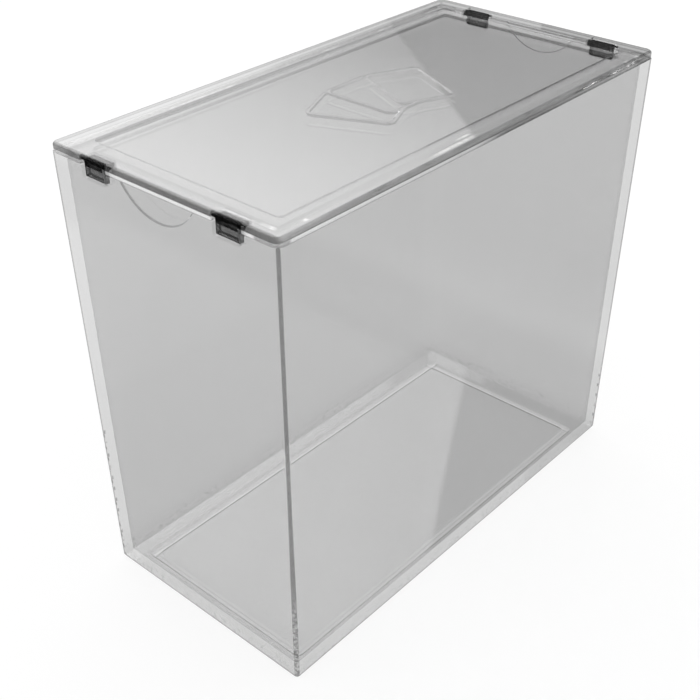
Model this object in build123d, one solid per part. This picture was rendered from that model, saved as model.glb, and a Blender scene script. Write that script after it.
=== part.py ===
from build123d import *
from math import radians, tan
import os

os.makedirs("parts", exist_ok=True)

# Clear display case for a boxed set of cards. The case stands on its stacking rib, with the
# origin at the middle of the base, X along the long side, Y across it and Z up.

# Case: a deep box of one moulding, with walls that lean out towards the rim for the mould
CASE_LENGTH = 200.0         # over the rim, along X
CASE_WIDTH = 100.2          # over the rim, along Y
CASE_DEPTH = 172.1          # underside of the floor up to the rim
WALL = 3.2
FLOOR = 3.4
DRAFT = 0.75                # degrees that each wall leans out
EDGE_RADIUS = 1.5           # outer upright edges
INNER_RADIUS = 0.8          # inner upright edges
FOOT_RADIUS = 1.2           # round the underside
FLOOR_RADIUS = 0.6          # where the walls meet the floor inside
RIM_GAP = 0.4               # rim below the lid, between the corners
PAD_LENGTH = 8.0            # each corner of the rim, which the lid rests on
SEAT_GAP = 0.05             # lid to those corners

# Lid: a plate that laps just over the rim, with a recessed top panel and a locating step below
LID_OVERHANG = 0.2
LID_THICKNESS = 3.1
LID_CORNER = 3.0            # plan corners
LID_EDGE = 0.9              # rounding of the top edge
PANEL_END_MARGIN = 10.0     # lid's ends to the recessed panel
PANEL_SIDE_MARGIN = 9.1     # lid's long sides to the recessed panel
PANEL_DEPTH = 1.0
PANEL_CORNER = 2.0
PANEL_EDGE = 0.4            # rounding of the panel's step
STEP_DEPTH = 1.2            # locating step under the lid
STEP_WIDTH = 5.5
STEP_CLEARANCE = 0.35       # locating step to the walls

# Stacking rib under the floor, which drops into the panel of a lid below
RIB_HEIGHT = 0.8
RIB_WIDTH = 3.5
RIB_CLEARANCE = 0.4         # rib to the panel's edge
RIB_CORNER = 2.0
RIB_INNER_CORNER = 0.5
RIB_EDGE = 0.25             # rounding of its lower edges

# Corner clips: smoked hooks, two on each end, hinged in pockets under the lid's edge
CLIP_WIDTH = 10.0
CLIP_MARGIN = 20.7          # rim's long side to the middle of the clip
CLIP_INSET = 1.1            # clip's face behind the lid's side
CLIP_DROP = 1.6             # clip's top below the lid's top
ARM_LENGTH = 4.15
ARM_THICKNESS = 1.8
TAB_THICKNESS = 2.0
TAB_HEIGHT = 5.85           # whole height of the clip
CLIP_EDGE = 0.25
PIN_RADIUS = 0.45
PIN_LENGTH = 1.4            # each pin's reach beyond the clip's side
PIN_CLEARANCE = 0.05        # pin to socket
PIN_INSET = 0.8             # pin's axis behind the clip's face
PIN_DROP = 0.65             # pin's axis below the clip's top
NOTCH_GAP = 0.45            # clip to the sides, back and roof of its pocket in the lid
NOTCH_CORNER = 0.4
POCKET_GAP = 0.4            # tab to the sides and floor of its pocket in the wall
POCKET_CORNER = 0.5

# Thumb scoops in the end walls, to get hold of the lid's edge
THUMB_HALF_WIDTH = 16.2
THUMB_DEPTH = 9.0           # rim down to the lowest point
THUMB_SCOOP = 0.5           # how far the scoop goes into the wall

# Device moulded on the lid: three round-cornered cards in a fan
CARD_WIDTH = 22.0
CARD_HEIGHT = 31.0
CARD_CORNER = 3.0
CARD_TILT = 24.0            # degrees between one card and the next
CARD_PIVOT = 34.0           # below the cards' middle
CARD_LINE = 1.2             # width of the raised line
CARD_RELIEF = 0.5

# Aids for picking edges
STEEP = 0.5                 # least rise of an upright edge, per unit of its length
CLOSE = 0.001               # how near a height an edge must lie

# Heights and half sizes that follow
FLOOR_UNDERSIDE = RIB_HEIGHT
FLOOR_TOP = FLOOR_UNDERSIDE + FLOOR
RIM = FLOOR_UNDERSIDE + CASE_DEPTH
LID_TOP = RIM + LID_THICKNESS
LEAN = tan(radians(DRAFT))
LID_LENGTH = CASE_LENGTH + 2 * LID_OVERHANG
LID_WIDTH = CASE_WIDTH + 2 * LID_OVERHANG
PANEL_LENGTH = LID_LENGTH - 2 * PANEL_END_MARGIN
PANEL_WIDTH = LID_WIDTH - 2 * PANEL_SIDE_MARGIN
CLIP_Y = CASE_WIDTH / 2 - CLIP_MARGIN
CLIP_FACE = LID_LENGTH / 2 - CLIP_INSET
CLIP_TOP = LID_TOP - CLIP_DROP
CLIP_FOOT = CLIP_TOP - TAB_HEIGHT
ARM_END = CLIP_FACE - ARM_LENGTH
PIVOT_X = CLIP_FACE - PIN_INSET
PIVOT_Z = CLIP_TOP - PIN_DROP
ENDS = {"left": -1, "right": 1}
SIDES = {"front": -1, "rear": 1}


def outline(length, width, corner, height, inset=0.0):
    """Round-cornered rectangle at a height, drawn in on every side by the inset."""
    return Pos(0, 0, height) * RectangleRounded(length - 2 * inset, width - 2 * inset, corner)


def edges_at(solid, height):
    """Edges of a solid that lie flat at one height."""
    return solid.edges().filter_by_position(Axis.Z, height - CLOSE, height + CLOSE)


def leaning_block(low, high, inset, upright_radius, foot_radius):
    """Block between two heights whose sides lean as the case's walls do, inset by a wall."""
    size = (CASE_LENGTH - 2 * inset, CASE_WIDTH - 2 * inset, high - low)
    block = Pos(0, 0, low) * Box(*size, align=(Align.CENTER, Align.CENTER, Align.MIN))
    walls = block.faces().filter_by(Axis.Z, reverse=True)
    block = draft(walls, Plane.XY.offset(RIM), -DRAFT)
    uprights = block.edges().filter_by(lambda edge: abs(edge.tangent_at(0).Z) > STEEP)
    block = fillet(uprights, upright_radius)
    return fillet(edges_at(block, low), foot_radius)


def rim_relief():
    """Thin layer that is left off the rim, except at the corners that the lid rests on."""
    ground = (Align.CENTER, Align.CENTER, Align.MAX)
    along = Box(CASE_LENGTH - 2 * PAD_LENGTH, 2 * CASE_WIDTH, RIM_GAP, align=ground)
    across = Box(2 * CASE_LENGTH, CASE_WIDTH - 2 * PAD_LENGTH, RIM_GAP, align=ground)
    return Pos(0, 0, RIM) * (along + across)


def thumb_scoop(side):
    """Round disc whose top is cut off by the rim, sunk into an end wall and leaning with it."""
    radius = (THUMB_HALF_WIDTH ** 2 + THUMB_DEPTH ** 2) / (2 * THUMB_DEPTH)
    centre_z = RIM - THUMB_DEPTH + radius
    face_x = CASE_LENGTH / 2 + (centre_z - RIM) * LEAN
    disc = Cylinder(radius, 2 * THUMB_SCOOP)
    return Pos(side * face_x, 0, centre_z) * Rot(0, 90 + side * DRAFT, 0) * disc


def wall_pocket(side, row):
    """Open-topped notch in an end wall that takes a clip's tab."""
    width = CLIP_WIDTH + 2 * POCKET_GAP
    floor = CLIP_FOOT - POCKET_GAP
    height = RIM - floor
    shape = RectangleRounded(width, 2 * height, POCKET_CORNER)
    block = extrude(Plane.YZ * shape, WALL, both=True)
    return Pos(side * (CASE_LENGTH - WALL) / 2, row * CLIP_Y, floor + height) * block


def stacking_rib():
    """Low rib round the underside of the floor, rounded on its lower edges."""
    length = PANEL_LENGTH - 2 * RIB_CLEARANCE
    width = PANEL_WIDTH - 2 * RIB_CLEARANCE
    ring = outline(length, width, RIB_CORNER, 0) - outline(length, width, RIB_INNER_CORNER, 0, RIB_WIDTH)
    rib = extrude(ring, RIB_HEIGHT + FLOOR / 2)
    return fillet(edges_at(rib, 0), RIB_EDGE)


def make_case():
    """The case: a leaning shell with a rib below, two thumb scoops and four clip pockets."""
    shell = leaning_block(FLOOR_UNDERSIDE, RIM - SEAT_GAP, 0, EDGE_RADIUS, FOOT_RADIUS)
    hollow = leaning_block(FLOOR_TOP, RIM, WALL, INNER_RADIUS, FLOOR_RADIUS)
    scoops = [thumb_scoop(side) for side in ENDS.values()]
    pockets = [wall_pocket(side, row) for side in ENDS.values() for row in SIDES.values()]
    return shell - [hollow, rim_relief(), *scoops, *pockets] + stacking_rib()


def clip_notch(side, row):
    """Pocket under the lid's edge for one clip, with a socket for the pin on each side."""
    width = CLIP_WIDTH + 2 * NOTCH_GAP
    back = ARM_END - NOTCH_GAP
    length = 2 * (LID_LENGTH / 2 - back)
    height = CLIP_TOP + NOTCH_GAP - (RIM - STEP_DEPTH)
    shape = RectangleRounded(length, width, NOTCH_CORNER)
    notch = Pos(back + length / 2, 0, RIM - STEP_DEPTH) * extrude(shape, height)
    reach = CLIP_WIDTH + 2 * (PIN_LENGTH + PIN_CLEARANCE)
    socket = Pos(PIVOT_X, 0, PIVOT_Z) * Rot(90, 0, 0) * Cylinder(PIN_RADIUS + PIN_CLEARANCE, reach)
    return clip_place(side, row) * (notch + socket)


def card(angle, inset=0.0):
    """Outline of one card of the fan, turned about a point below its middle."""
    length = CARD_WIDTH - 2 * inset
    height = CARD_HEIGHT - 2 * inset
    shape = Pos(0, CARD_PIVOT) * RectangleRounded(length, height, CARD_CORNER - inset)
    return Pos(0, -CARD_PIVOT) * Rot(0, 0, angle) * shape


def card_fan():
    """Raised lines of the fan, where each card hides the one that it lies on."""
    lines = card(CARD_TILT) - card(CARD_TILT, CARD_LINE)
    for angle in (0, -CARD_TILT):
        lines = lines - card(angle) + (card(angle) - card(angle, CARD_LINE))
    return Pos(0, 0, LID_TOP - PANEL_DEPTH) * extrude(lines, CARD_RELIEF)


def make_lid():
    """The lid: plate, locating step below, recessed panel with the fan, and four clip pockets."""
    plate = extrude(outline(LID_LENGTH, LID_WIDTH, LID_CORNER, RIM), LID_THICKNESS)
    plate = fillet(edges_at(plate, LID_TOP), LID_EDGE)
    panel = extrude(outline(PANEL_LENGTH, PANEL_WIDTH, PANEL_CORNER, LID_TOP - PANEL_DEPTH), PANEL_DEPTH)
    panel = fillet(edges_at(panel, LID_TOP - PANEL_DEPTH), PANEL_EDGE)
    room = WALL + STEP_CLEARANCE
    ring = outline(CASE_LENGTH, CASE_WIDTH, INNER_RADIUS, RIM - STEP_DEPTH, room)
    ring = ring - outline(CASE_LENGTH, CASE_WIDTH, INNER_RADIUS, RIM - STEP_DEPTH, room + STEP_WIDTH)
    lid = plate - panel + extrude(ring, STEP_DEPTH) + card_fan()
    return lid - [clip_notch(side, row) for side in ENDS.values() for row in SIDES.values()]


def clip_place(side, row):
    """Where a clip goes: the right end's clip, turned round for the left end."""
    return Pos(0, row * CLIP_Y, 0) * Rot(0, 0, 90 - 90 * side)


def make_clip(side, row):
    """Hook with an arm that goes in under the lid, a hanging tab, and a pin on each side."""
    under = CLIP_TOP - ARM_THICKNESS
    inner = CLIP_FACE - TAB_THICKNESS
    hook = Polyline(
        (ARM_END, under),
        (inner, under),
        (inner, CLIP_FOOT),
        (CLIP_FACE, CLIP_FOOT),
        (CLIP_FACE, CLIP_TOP),
        (ARM_END, CLIP_TOP),
        close=True,
    )
    clip = extrude(make_face(Plane.XZ * hook), CLIP_WIDTH / 2, both=True)
    clip = chamfer(clip.edges(), CLIP_EDGE)
    pin = Pos(PIVOT_X, 0, PIVOT_Z) * Rot(90, 0, 0) * Cylinder(PIN_RADIUS, CLIP_WIDTH + 2 * PIN_LENGTH)
    return clip_place(side, row) * (clip + pin)


export_step(make_case(), "parts/case.step")
export_step(make_lid(), "parts/lid.step")
for end, side in ENDS.items():
    for place, row in SIDES.items():
        export_step(make_clip(side, row), f"parts/clip_{end}_{place}.step")
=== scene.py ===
# %% [markdown]
# # A clear case for a boxed set of cards
#
# This lesson dresses a case that collectors keep a sealed box of cards in. The real one is
# injection-moulded: a deep clear case, a clear lid and four small smoked clips. The solids come
# from the CAD model with every size and joint in place, so the work left here is what such a
# product lives by: clear plastic that reads as clear plastic.

# %% Load the fixed frame
import math

import bpy
import numpy as np
from mathutils import Matrix, Vector

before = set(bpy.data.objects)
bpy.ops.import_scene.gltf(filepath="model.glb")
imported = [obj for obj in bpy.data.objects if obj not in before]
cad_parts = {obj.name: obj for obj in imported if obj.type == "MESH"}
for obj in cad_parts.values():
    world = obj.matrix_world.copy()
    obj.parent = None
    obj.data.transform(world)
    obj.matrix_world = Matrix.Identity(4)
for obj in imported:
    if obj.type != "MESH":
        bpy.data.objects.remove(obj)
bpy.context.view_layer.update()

print("CAD pieces:", ", ".join(sorted(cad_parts)))

# %% [markdown]
# ## Shader maths as plain arithmetic
#
# A material is a graph of nodes, and a graph is slow to read. A small class can wrap one
# output socket and add a Math node whenever Python sees a plus or a times sign, so that a
# formula stays a formula. Everything that isn't arithmetic goes through one method that adds
# any node: its settings first, then its sockets.

# %% A socket that does arithmetic
class Number:
    """One number that varies over a surface. Arithmetic on it adds Math nodes."""

    def __init__(self, tree, socket):
        self.tree = tree
        self.socket = socket

    def maths(self, operation, *values):
        """Math node on the values given, each a number or a Number."""
        sockets = dict(enumerate(values))
        return self.tree.number("ShaderNodeMath", {"operation": operation}, sockets)

    def __add__(self, other):
        return self.maths("ADD", self, other)

    def __sub__(self, other):
        return self.maths("SUBTRACT", self, other)

    def __rsub__(self, other):
        return self.maths("SUBTRACT", other, self)

    def __mul__(self, other):
        return self.maths("MULTIPLY", self, other)

    __radd__ = __add__
    __rmul__ = __mul__

    def most(self, other):
        """The larger of two numbers."""
        return self.maths("MAXIMUM", self, other)

    def least(self, other):
        """The smaller of two numbers."""
        return self.maths("MINIMUM", self, other)

    def size(self):
        """The number without its sign."""
        return self.maths("ABSOLUTE", self)

    def between(self, low, high):
        """0 below low, 1 above high, and a smooth rise from one to the other."""
        sockets = {"Value": self, "From Min": low, "From Max": high}
        return self.tree.number("ShaderNodeMapRange", {"interpolation_type": "SMOOTHSTEP"}, sockets)

    def near(self, centre, half, soft=0.1):
        """1 within half a width of the centre, falling to 0 over a soft border."""
        return 1.0 - (self - centre).size().between(half - soft, half + soft)


class Tree:
    """The node tree of a material or of the world, with one method that adds any node."""

    def __init__(self, owner):
        owner.use_nodes = True
        self.nodes = owner.node_tree.nodes
        self.links = owner.node_tree.links
        self.nodes.clear()

    def node(self, kind, settings=None, sockets=None):
        """Add a node. Settings are set first, then each socket gets its value or link."""
        node = self.nodes.new(kind)
        for name, value in (settings or {}).items():
            setattr(node, name, value)
        for name, value in (sockets or {}).items():
            self.feed(node.inputs[name], value)
        return node

    def feed(self, socket, value):
        """Link a socket to a Number or to another node's socket, or set its value."""
        if isinstance(value, Number):
            value = value.socket
        if isinstance(value, bpy.types.NodeSocket):
            self.links.new(value, socket)
        else:
            socket.default_value = value

    def number(self, kind, settings=None, sockets=None, output=0):
        """Add a node and wrap one of its outputs as a Number."""
        return Number(self, self.node(kind, settings, sockets).outputs[output])

    def noise(self, where, scale, detail=2.0):
        """Soft clouds of noise, so many to a metre."""
        sockets = {"Vector": where, "Scale": scale, "Detail": detail}
        return self.number("ShaderNodeTexNoise", None, sockets)

    def glints(self, x, y, spots):
        """1 at small spots, each a centre and a half size in x and y, and 0 elsewhere."""
        marks = [
            x.near(middle_x, half_x, half_x * 0.5) * y.near(middle_y, half_y, half_y * 0.5)
            for middle_x, middle_y, half_x, half_y in spots
        ]
        return strongest(*marks)

    def grey(self, level):
        """A colour with the same level of red, green and blue."""
        sockets = {"Red": level, "Green": level, "Blue": level}
        return self.node("ShaderNodeCombineColor", None, sockets).outputs[0]

    def place(self):
        """The place on the piece: the vector in metres, and its x, y and z in millimetres."""
        where = self.node("ShaderNodeTexCoord").outputs["Object"]
        split = self.node("ShaderNodeSeparateXYZ", None, {"Vector": where})
        return where, *(Number(self, split.outputs[axis]) * 1000.0 for axis in "XYZ")


def strongest(first, *others):
    """The strongest of several marks, each 0 to 1."""
    for other in others:
        first = first.most(other)
    return first


print("helpers ready")

# %% [markdown]
# ## Clear moulded plastic
#
# Each wall is a real solid with two surfaces, and light that crosses one loses about a sixth.
# One crossing passes the square root of Base Color, so a single wall looks pale grey and two
# walls a little deeper. The index is close to 1, and a clear coat brings the gloss back: at the
# full index a ray can be trapped inside a wall until it runs out of bounces and comes out
# black, where a real edge is the palest part of the case.
#
# What the low index leaves out is painted where it belongs. A rounded edge throws light aside
# and reads as a dark line, and a step in the floor or the lid shows one dark side and one pale
# side. All of it is worked out from the place on the piece, in millimetres, so the lines stay
# on their edges from any side.
#
# A perfect surface would look computed. Moulded plastic has a slow waviness from the tool and
# from cooling, and a fine haze, and these feed Base Color, Roughness and Normal.

# %% Sizes that the marks are placed by, and the surface that all the plastics share
LEAN = math.tan(math.radians(0.75))     # each wall's lean
RIM_HEIGHT = 172.9
RIM_HALF_LENGTH = 100.0
RIM_HALF_WIDTH = 50.1
LID_HALF_LENGTH = 100.2
LID_HALF_WIDTH = 50.3
PANEL_HALF_LENGTH = 90.2
PANEL_HALF_WIDTH = 41.2
RIB_GAP = 0.4                           # panel's edge to the rib below
RIB_WIDTH = 3.5
CLIP_Y = 29.4
SCOOP_HALF_WIDTH = 16.2
SCOOP_DEPTH = 9.0
WAVE_STEP = 0.00002
GLOSSY_CLEAR = {
    "Transmission Weight": 1.0,
    "IOR": 1.03,
    "Coat IOR": 1.5,
    "Coat Roughness": 0.01,
    "Emission Strength": 1.0,
}


def plastic(name, tint, haze, gloss, marks):
    """A moulded plastic. Marks gives a dark, a pale and a bright mark, each 0 to 1, for every
    place: painted shade, painted light and a painted highlight. Base Color is the tint, less a
    little noise, mixed towards white by pale and then towards black by dark. Coat Weight is the
    gloss, which fades where the mark is dark, and Emission Color is the bright mark, so the
    painted highlight glows. Roughness is haze times noise. Normal follows two slow waves of noise."""
    material = bpy.data.materials.new(name)
    tree = Tree(material)
    surface = tree.node("ShaderNodeBsdfPrincipled", None, GLOSSY_CLEAR)
    tree.node("ShaderNodeOutputMaterial", None, {"Surface": surface.outputs[0]})
    where, x, y, z = tree.place()
    dark, pale, bright = marks(tree, where, x, y, z)
    cloud = 1.0 - tree.noise(where, 38.0) * 0.012
    level = ((cloud * tint) * (1.0 - pale) + pale) * (1.0 - dark)
    tree.feed(surface.inputs["Base Color"], tree.grey(level))
    tree.feed(surface.inputs["Coat Weight"], (1.0 - dark.between(0.7, 1.0)) * gloss)
    tree.feed(surface.inputs["Emission Color"], tree.grey(bright))
    fine = tree.noise(where, 900.0, 3.0)
    tree.feed(surface.inputs["Roughness"], fine.between(0.35, 0.8) * haze)
    slow = tree.noise(where, 16.0, 1.0) + tree.noise(where, 70.0, 1.0) * 0.25
    sockets = {"Strength": 1.0, "Distance": WAVE_STEP, "Height": slow}
    wave = tree.node("ShaderNodeBump", None, sockets)
    tree.feed(surface.inputs["Normal"], wave.outputs["Normal"])
    return material


print("one plastic for all, with an index of", GLOSSY_CLEAR["IOR"])

# %% [markdown]
# ## The case
#
# The case is one deep moulding, open at the top, with a rib below that sits in the lid of the
# case under it. The solid has all of that, so what is left are its lines. They could be thin
# dark strips, but light that is thrown aside has no thickness, so each line is a mark: a
# distance to an edge, turned into a number from 0 to 1. `end` is the distance to the
# nearer end wall's outer face and `flank` to the nearer long one, both along the walls' lean,
# and an upright edge is where both are small.

# %% The case
FOOT_HEIGHT = 0.8           # the walls' foot above the rib's
DASH_PITCH = 5.4
SECOND_LINE = 1.9           # from the rib's edge to the line beside it


def upright_marks(tree, where, x, y, z, corner):
    """Painted shade of the upright edges, where light is thrown aside. The near edge is dark
    within 1 mm, a little wider low down and there mottled by noise. The edges to its left and
    right are fainter, with a row of painted dark dashes beside each: a sine of the height, cut
    to dashes, times noise, which ends along a sloping line."""
    left, front = 1.0 - x.between(-1, 1), 1.0 - y.between(-1, 1)
    across = 1.0 - (x * y).between(-1, 0)
    streaks = tree.noise(where, 800.0, 3.0).between(0.42, 0.6)
    mottled = (1.0 - z.between(22, 48)) * streaks
    wide = (1.0 - z.between(15, 90)) * 0.35
    near_edge = 1.0 - (corner - wide).between(0.85, 1.1)
    near_edge = near_edge * left * front * (0.8 - mottled * 0.5)
    side_edges = (1.0 - corner.between(1.1, 1.5)) * across * 0.6
    beat = z.maths("SINE", z * (2 * math.pi / DASH_PITCH)).between(0.2, 0.9)
    beat = beat * (1.0 - (z + x * 0.165).between(44, 52)) * z.between(2, 6)
    patchy = tree.noise(where, 300.0).between(0.3, 0.55) * 0.75
    dashes = beat * corner.near(1.6, 0.55, 0.25) * across * patchy
    return strongest(near_edge, side_edges, dashes)


def foot_marks(tree, where, x, y, z, end, flank):
    """A dark line of painted shade along the foot of the near end wall and the front wall, and
    specks of noise that thin out over the lowest few millimetres of every outer face."""
    left, front = 1.0 - x.between(-1, 1), 1.0 - y.between(-1, 1)
    high = z - FOOT_HEIGHT
    front_foot = (1.0 - flank.most(high).between(0.9, 1.25)) * front
    left_foot = (1.0 - end.most(high).between(0.9, 1.25)) * left
    specks = tree.noise(where, 650.0, 3.0).between(0.56, 0.66) * (1.0 - high.between(3.0, 7.0))
    specks = specks * (1.0 - end.least(flank).between(0.4, 0.8)) * 0.3
    return strongest(front_foot.most(left_foot) * 0.5, specks)


print("dashes every", DASH_PITCH, "mm beside two upright edges")

# %% The thumb scoops and the rib below
SCOOP_RADIUS = (SCOOP_HALF_WIDTH ** 2 + SCOOP_DEPTH ** 2) / (2 * SCOOP_DEPTH)


def scoop_mark(y, z, end):
    """A dark line of painted shade along each thumb scoop, on the end wall's outer face: where the
    distance to the centre of the scoop's arc is the arc's radius."""
    rise = z - (RIM_HEIGHT - SCOOP_DEPTH + SCOOP_RADIUS)
    reach = y.maths("SQRT", y * y + rise * rise)
    return reach.near(SCOOP_RADIUS, 0.22) * (1.0 - end.between(0.8, 1.0)) * 0.6


def rib_marks(x, y, z):
    """Lines round the rib, at the height of its foot. Dark painted shade along its near outer
    edges, with a fainter line beside them, and along its far inner edges; pale painted light
    just beyond those."""
    near_x, near_y = RIB_GAP - PANEL_HALF_LENGTH, RIB_GAP - PANEL_HALF_WIDTH
    far_x, far_y = -near_x - RIB_WIDTH, -near_y - RIB_WIDTH
    below = (1.0 - z.between(0.7, 0.9)) * (1.0 - x.size().between(-near_x, 0.3 - near_x))
    below = below * (1.0 - y.size().between(-near_y, 0.3 - near_y))
    in_x, in_y = x.between(near_x - 0.4, near_x), y.between(near_y - 0.4, near_y)
    shaded = (x.near(near_x, 0.35) * in_y).most(y.near(near_y, 0.35) * in_x)
    second_x = x.near(near_x + SECOND_LINE, 0.3) * in_y
    second_y = y.near(near_y + SECOND_LINE, 0.3) * in_x
    second = second_x.most(second_y) * 0.6
    shaded = strongest(shaded, second, x.near(far_x, 0.35), y.near(far_y, 0.35))
    lit = x.near(far_x + 1.0, 0.4).most(y.near(far_y + 1.0, 0.4))
    return shaded * below, lit * below


print("scoops with a radius of", round(SCOOP_RADIUS, 2), "mm")

# %% All the case's marks
def case_marks(tree, where, x, y, z):
    """Dark is the strongest of the uprights', the foot's, the scoops' and the rib's dark marks,
    the painted shade with the foot's specks. Pale is the rib's pale line of painted light, and
    bright the same line, weaker, a painted highlight."""
    drop = (RIM_HEIGHT - z) * LEAN
    end = RIM_HALF_LENGTH - drop - x.size()
    flank = RIM_HALF_WIDTH - drop - y.size()
    uprights = upright_marks(tree, where, x, y, z, end.most(flank))
    foot = foot_marks(tree, where, x, y, z, end, flank)
    shaded, lit = rib_marks(x, y, z)
    dark = strongest(uprights, foot, scoop_mark(y, z, end), shaded * 0.55)
    return dark, lit * 0.7, lit * 0.12


CLEAR = plastic("clear_moulding", tint=0.706, haze=0.02, gloss=1.0, marks=case_marks)
print("made", CLEAR.name, "from", len(CLEAR.node_tree.nodes), "nodes")

# %% [markdown]
# ## The lid
#
# The lid's side is about 3 mm high, and it is the busiest part of the real case: the steps
# behind it bend the light into dark and pale bands along it. Refraction alone would draw them
# only if each step had its exact shape, so they are painted light and shade instead, marks
# each between two heights. At the near end one bright band stops beside the clips, and over
# the clips the side is painted near black. On top, the panel steps down at a painted dark
# line, and the border has a few small painted glints, listed by place, that glow.

# %% The lid
STRIP_HEIGHT = 173.65       # middle of the bright band
# painted highlights on the lid's border, which glow through Emission Color
LID_GLINTS = [              # middle x, middle y, half length in x and in y
    (-97.1, -31.4, 0.7, 5.5),
    (-96.2, -43.0, 0.8, 2.6),
    (-86.9, -47.8, 0.9, 0.7),
    (-20.0, -47.9, 9.5, 0.6),
    (-13.0, -45.8, 3.0, 0.5),
    (82.0, -48.9, 1.3, 0.5),
    (88.9, -48.9, 1.0, 0.6),
    (86.5, 35.5, 0.6, 2.5),
]


def lid_side(tree, where, x, y, z):
    """The painted bands of shade and light along the lid's side, each between two heights: a
    dark one on top, lines below it, and a bright strip. The near end's strip stops beside the
    clips, and over them its upper part is painted near black. Gives dark, pale and bright, the
    last a painted highlight."""
    end = LID_HALF_LENGTH - x.size()
    edge = end.least(LID_HALF_WIDTH - y.size())
    near_end = (1.0 - x.between(-1, 1)) * (1.0 - end.between(0.5, 2.5))
    far_part = x.between(-14, 6)
    strip = z.near(STRIP_HEIGHT, 0.55, 0.15)
    front = 1.0 - y.between(-1, 1)
    front_strip = strip * (1.0 - far_part) * x.between(-96, -94.5) * front
    uneven = tree.noise(where, 90.0, 3.0).between(0.3, 0.65) * 0.35 + 0.72
    front_top = z.between(175.2, 175.5) * (x.between(-90, -40) * 0.28 + 0.45) * uneven
    front_low = (z.near(174.5, 0.22) * 0.7).most(z.near(173.1, 0.3, 0.15) * far_part * 0.75)
    front_dark = strongest(front_top, front_low, (1.0 - front_strip) * (far_part * 0.15 + 0.36))
    front_dark = front_dark * (1.0 - edge.between(1.0, 1.4)) * (front * 0.5 + 0.5)
    beside = y.near(CLIP_Y - 0.75, 6.2).most(y.near(-CLIP_Y - 0.75, 6.2))
    end_strip = strip * y.between(-42, -40) * (1.0 - beside) * (1.0 - y.between(22, 24))
    end_dark = (z.between(173.9, 174.2) * 0.85).most((1.0 - end_strip) * 0.35)
    end_dark = end_dark * (1.0 - edge.between(1.3, 1.8))
    side = front_dark * (1.0 - near_end) + end_dark * near_end
    # painted highlight along the bright strip
    shine = front_strip * (1.0 - near_end) * 0.22 + end_strip * near_end * 0.34
    on_side = 1.0 - edge.between(0.3, 0.7)
    # painted near-black shade on the lid's side over the clips
    over_clip = beside * (1.0 - end.between(1.2, 1.5)) * z.between(174.1, 174.4) * near_end
    return side.most(over_clip * 0.97), strip * on_side, shine * on_side


print("bright band at a height of", STRIP_HEIGHT, "mm")

# %% The lid's top
def panel_steps(x, y, z):
    """Painted dark lines of shade on the panel's floor, along the step at its ends, its front and
    its rear. The front's is the widest, and darkens towards the far end."""
    in_length = 1.0 - x.size().between(PANEL_HALF_LENGTH, PANEL_HALF_LENGTH + 0.3)
    in_width = 1.0 - y.size().between(PANEL_HALF_WIDTH, PANEL_HALF_WIDTH + 0.3)
    end_step = x.size().near(PANEL_HALF_LENGTH - 0.15, 0.6, 0.2) * in_width * 0.14
    front_step = (0.0 - y).near(PANEL_HALF_WIDTH + 0.3, 1.3, 0.3) * in_length
    front_step = front_step * (x.between(-60, 60) * 0.25 + 0.13)
    back_step = y.near(PANEL_HALF_WIDTH - 0.15, 0.5, 0.2) * in_length * 0.12
    return strongest(end_step, back_step, front_step) * z.between(174.9, 175.0)


def border_glints(tree, where, x, y, z):
    """Painted highlights on the border's top: the listed glints, and a line along the panel's rear
    that noise breaks up, all made uneven by finer noise."""
    broken = tree.noise(where, 70.0, 4.0).between(0.5, 0.58)
    broken = broken * y.near(PANEL_HALF_WIDTH + 1.0, 0.4, 0.2)
    broken = broken * (1.0 - x.size().between(87, 90)) * 0.8
    glints = tree.glints(x, y, LID_GLINTS).most(broken) * z.between(175.8, 175.95)
    return glints * (tree.noise(where, 420.0, 3.0).between(0.35, 0.6) * 0.6 + 0.4)


print(len(LID_GLINTS), "glints on the border")

# %% All the lid's marks
def lid_marks(tree, where, x, y, z):
    """The side's painted marks, with the panel's painted shade added to dark and the painted
    glints to bright.
    """
    dark, pale, bright = lid_side(tree, where, x, y, z)
    glints = border_glints(tree, where, x, y, z)
    return dark.most(panel_steps(x, y, z)), pale, bright.most(glints * 0.3)


LID_CLEAR = plastic("lid_moulding", tint=0.692, haze=0.02, gloss=1.0, marks=lid_marks)
print("made", LID_CLEAR.name, "from", len(LID_CLEAR.node_tree.nodes), "nodes")

# %% [markdown]
# ## The clips
#
# Four small hooks hold the lid down. They are the same plastic with a smoke tint, so a thin tab
# lets some light through while its edges, where the eye looks along the plastic, are painted
# near black as shade. An edge is where two of the clip's faces meet, and so where the distances
# to two of them are small at once. The head is painted near black all over, the shade of being
# seen through its depth.

# %% The clips
CLIP_HALF_WIDTH = 5.0
CLIP_PLANES_X = (99.1, 97.1, 94.95)     # faces across the case, from its middle
CLIP_PLANES_Z = (168.55, 172.6, 174.4)  # level faces, by height


def from_nearest(value, places):
    """The distance from a number to the nearest of several places."""
    distance = (value - places[0]).size()
    for place in places[1:]:
        distance = distance.least((value - place).size())
    return distance


def clip_marks(tree, where, x, y, z):
    """Painted near-black shade along every edge and over the head, and a faint painted gleam of
    noise.
    """
    from_x = from_nearest(x.size(), CLIP_PLANES_X)
    from_y = ((y.size() - CLIP_Y).size() - CLIP_HALF_WIDTH).size()
    from_z = from_nearest(z, CLIP_PLANES_Z)
    edge = from_x.most(from_y).least(from_y.most(from_z)).least(from_x.most(from_z))
    lines = 1.0 - edge.between(0.4, 0.65)
    gleam = tree.noise(where, 500.0).between(0.45, 0.7) * 0.01
    return (lines * 0.99).most(z.between(172.2, 172.6) * 0.96), gleam, gleam


SMOKED = plastic("smoked_moulding", tint=0.15, haze=0.05, gloss=0.4, marks=clip_marks)
print("made", SMOKED.name, "from", len(SMOKED.node_tree.nodes), "nodes")

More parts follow.
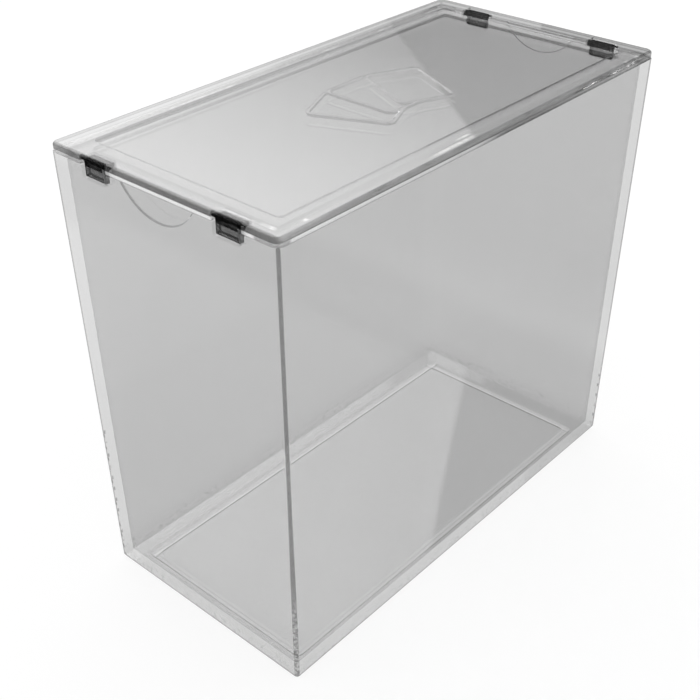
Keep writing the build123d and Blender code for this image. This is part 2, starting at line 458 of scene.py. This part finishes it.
# %% Put the plastics on the CAD pieces
FINISHES = {"case": CLEAR, "lid": LID_CLEAR}
for name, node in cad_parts.items():
    for slot in node.material_slots:
        slot.material = FINISHES.get(name, SMOKED)
print("dressed", len(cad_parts), "pieces")

# %% [markdown]
# ## The floor
#
# Clear plastic shows its surroundings, so the room is most of the look. A floor that is white
# from light alone would need so much of it that the object burns out. This one glows instead,
# to every ray that looks at it, and keeps a small share of the lamps' light for the shadow.
# Its glow also carries a painted shadow: the walls mirror it less brightly close to the case
# and beyond its right end, and through the case it looks a little darker. A ray that has
# crossed plastic also counts as a glossy one, so what is seen through the case is told first
# and what is mirrored second.

# %% A white floor that keeps a soft shadow
FLOOR_SIZE = 12.0
FOOT_HALF_LENGTH = 98.0     # of the case, where it stands on the floor
FOOT_HALF_WIDTH = 48.0
SHADOW_SHARE = 0.12         # of the floor's brightness that comes from the lamps


def white_floor():
    """A square sheet at z = 0, from its four corners."""
    half = FLOOR_SIZE / 2
    corners = np.array([(-1, -1, 0), (1, -1, 0), (1, 1, 0), (-1, 1, 0)]) * half
    mesh = bpy.data.meshes.new("floor")
    mesh.from_pydata(corners.tolist(), [], [(0, 1, 2, 3)])
    floor = bpy.data.objects.new("floor", mesh)
    bpy.context.scene.collection.objects.link(floor)
    return floor


def floor_finish():
    """White that partly glows to any ray that looks at it, and partly takes the lamps' light.
    The glow is full to the camera; elsewhere it carries a painted shadow, a little less through
    the case, least of all at its near corner and right end, and in a mirror fading close to the
    case and beyond its right end."""
    material = bpy.data.materials.new("floor_white")
    tree = Tree(material)
    where, x, y, z = tree.place()
    path = tree.node("ShaderNodeLightPath")
    camera, mirror, through = (
        Number(tree, path.outputs[kind])
        for kind in ("Is Camera Ray", "Is Glossy Ray", "Is Transmission Ray")
    )
    away = (x.size() - FOOT_HALF_LENGTH).most(y.size() - FOOT_HALF_WIDTH)
    # painted shadow in the glow: dimmer under the case, at its near corner and right end
    under = 0.935 - away.between(-10, -8) * 0.065
    right_end = 1.0 - x.near(118, 30, 12) * 0.08
    near_corner = (x + y).between(-150, -105) * 0.05 + 0.95
    seen_through = (under + away.between(-1, 14) * 0.13) * (right_end * near_corner)
    mirrored = (1.0 - x.between(80, 230) * 0.62).least(away.between(0, 200) * 0.5 + 0.5)
    level = through * seen_through + (1.0 - through) * mirrored
    level = camera + (1.0 - camera) * level
    lit = tree.node("ShaderNodeBsdfDiffuse", None, {"Color": (0.93, 0.93, 0.93, 1.0)})
    glow = tree.node("ShaderNodeEmission", None, {"Color": tree.grey(level)})
    looked_at = strongest(camera, mirror, through)
    blend = tree.node("ShaderNodeMixShader", None, {0: looked_at * (1 - SHADOW_SHARE)})
    tree.feed(blend.inputs[1], lit.outputs[0])
    tree.feed(blend.inputs[2], glow.outputs[0])
    tree.node("ShaderNodeOutputMaterial", None, {"Surface": blend.outputs[0]})
    return material


floor = white_floor()
floor.data.materials.append(floor_finish())
print("floor", FLOOR_SIZE, "m wide")

# %% [markdown]
# ## The studio
#
# What the plastic mirrors is drawn straight into the world, by compass angle and height above
# the horizon: a white backdrop low down all round, a dim ceiling, and one tall softbox. Its
# upright edge is the slanting line mirrored in the lid and again in the floor of the case. Real
# panels of light would do the same, but they would also light the floor unevenly, and here
# matt surfaces get an even light of their own.

# %% The studio overhead
DEGREE = math.pi / 180
BOX_EDGE = 34.6             # compass angle of the softbox's upright edge, from +X to +Y
BOX_SLANT = 0.87            # how far its foot leans, in degrees to the degree
BOX_FOOT = 23.3             # height below which it leans
BOX_SHOULDER = 33.0         # height above which the edge leans too, more gently
BOX_SHOULDER_SLANT = 0.19
BOX_BRIGHTEST = 4.5
BACKDROP_TOP = 13.0         # white backdrop up to here
DIM_CEILING = 0.06
FILL_LIGHT = 0.95


def studio_world():
    """White to the camera and low down; overhead dim, with a softbox that brightens with
    height and away from its edge; and an even light for matt surfaces."""
    world = bpy.data.worlds.new("studio")
    bpy.context.scene.world = world
    tree = Tree(world)
    direction = tree.node("ShaderNodeTexCoord").outputs["Generated"]
    split = tree.node("ShaderNodeSeparateXYZ", None, {"Vector": direction})
    x, y, z = (Number(tree, split.outputs[axis]) for axis in "XYZ")
    compass = y.maths("ARCTAN2", y, x) * (1 / DEGREE)
    height = z.maths("ARCSINE", z) * (1 / DEGREE)
    edge = (BOX_FOOT - height).most(0.0) * BOX_SLANT + BOX_EDGE
    edge = (height - BOX_SHOULDER).most(0.0) * BOX_SHOULDER_SLANT + edge
    inside = (compass - edge).between(-0.25, 0.25) * (1.0 - compass.between(95.0, 125.0))
    bright = (compass - 41.0) * 0.05 + (height - 22.0) * 0.15 + 0.9
    below_top = 1.0 - height.between(62.0, 75.0)
    softbox = inside * bright.most(0.3).least(BOX_BRIGHTEST) * below_top
    low = 1.0 - height.between(BACKDROP_TOP, BACKDROP_TOP + 3)
    seen = strongest(softbox, low, DIM_CEILING)
    path = tree.node("ShaderNodeLightPath")
    camera = Number(tree, path.outputs["Is Camera Ray"])
    matt = Number(tree, path.outputs["Is Diffuse Ray"])
    level = camera + (1.0 - camera) * (matt * FILL_LIGHT + (1.0 - matt) * seen)
    sockets = {"Color": (1.0, 1.0, 1.0, 1.0), "Strength": level}
    sky = tree.node("ShaderNodeBackground", None, sockets)
    tree.node("ShaderNodeOutputWorld", None, {"Surface": sky.outputs[0]})


studio_world()
print("studio with one softbox, its edge at", BOX_EDGE, "degrees")

# %% [markdown]
# ## The lamp
#
# The case casts only a faint, wide shadow, so one large lamp high behind it is enough. A lamp
# that size would show as a bright square in every wall, so it is hidden from all rays but those
# that light a surface.

# %% One soft lamp for the shadow
LAMP_PLACE = Vector((0.75, 1.05, 1.5))
LAMP_SIZE = 1.6
LAMP_POWER = 9.0


def soft_lamp():
    """A square lamp that looks at the case, and stays out of the mirrored view."""
    light = bpy.data.lights.new("softbox", "AREA")
    light.size = LAMP_SIZE
    light.energy = LAMP_POWER
    lamp = bpy.data.objects.new("softbox", light)
    lamp.location = LAMP_PLACE
    lamp.rotation_euler = LAMP_PLACE.to_track_quat("Z", "Y").to_euler()
    lamp.visible_camera = False
    lamp.visible_glossy = False
    lamp.visible_transmission = False
    bpy.context.scene.collection.objects.link(lamp)


soft_lamp()
print("lamp", LAMP_SIZE, "m wide,", round(LAMP_PLACE.length, 2), "m from the case")

# %% [markdown]
# ## The camera
#
# The camera stands where the photograph's stood. Its place, its turn and the lens were found
# together, by fitting the case's corners to the picture, because each of them alone can be
# traded for another. A case seen from so near shows strong perspective, and with a guessed
# lens its sides would run the wrong way.

# %% The camera
CAMERA_PLACE = Vector((-0.2906, -0.2457, 0.3196))
CAMERA_TURN = -48.25        # degrees round the case
CAMERA_DROP = 33.27         # degrees that it looks down
CAMERA_ROLL = -0.38
FOCAL_PIXELS = 1156.7
PICTURE = 700
SENSOR = 36.0


def camera_axes():
    """Right, up and back of the camera: back points from the case to the camera, right is
    level, and roll turns the first two about back."""
    turn, drop, roll = (angle * DEGREE for angle in (CAMERA_TURN, CAMERA_DROP, CAMERA_ROLL))
    level = math.cos(drop)
    back = Vector((math.sin(turn) * level, -math.cos(turn) * level, math.sin(drop)))
    right = Vector((0, 0, 1)).cross(back).normalized()
    up = back.cross(right)
    rolled_right = right * math.cos(roll) + up * math.sin(roll)
    rolled_up = up * math.cos(roll) - right * math.sin(roll)
    return rolled_right, rolled_up, back


def photo_camera():
    """A camera with the photograph's place, turn and angle of view."""
    camera = bpy.data.cameras.new("camera")
    camera.sensor_width = SENSOR
    camera.lens = SENSOR * FOCAL_PIXELS / PICTURE
    camera.clip_start = 0.01
    eye = bpy.data.objects.new("camera", camera)
    axes = Matrix(camera_axes()).transposed().to_4x4()
    eye.matrix_world = Matrix.Translation(CAMERA_PLACE) @ axes
    bpy.context.scene.collection.objects.link(eye)
    bpy.context.scene.camera = eye


photo_camera()
bpy.context.scene.view_settings.view_transform = "Standard"
print("camera with a lens of", round(SENSOR * FOCAL_PIXELS / PICTURE, 1), "mm")
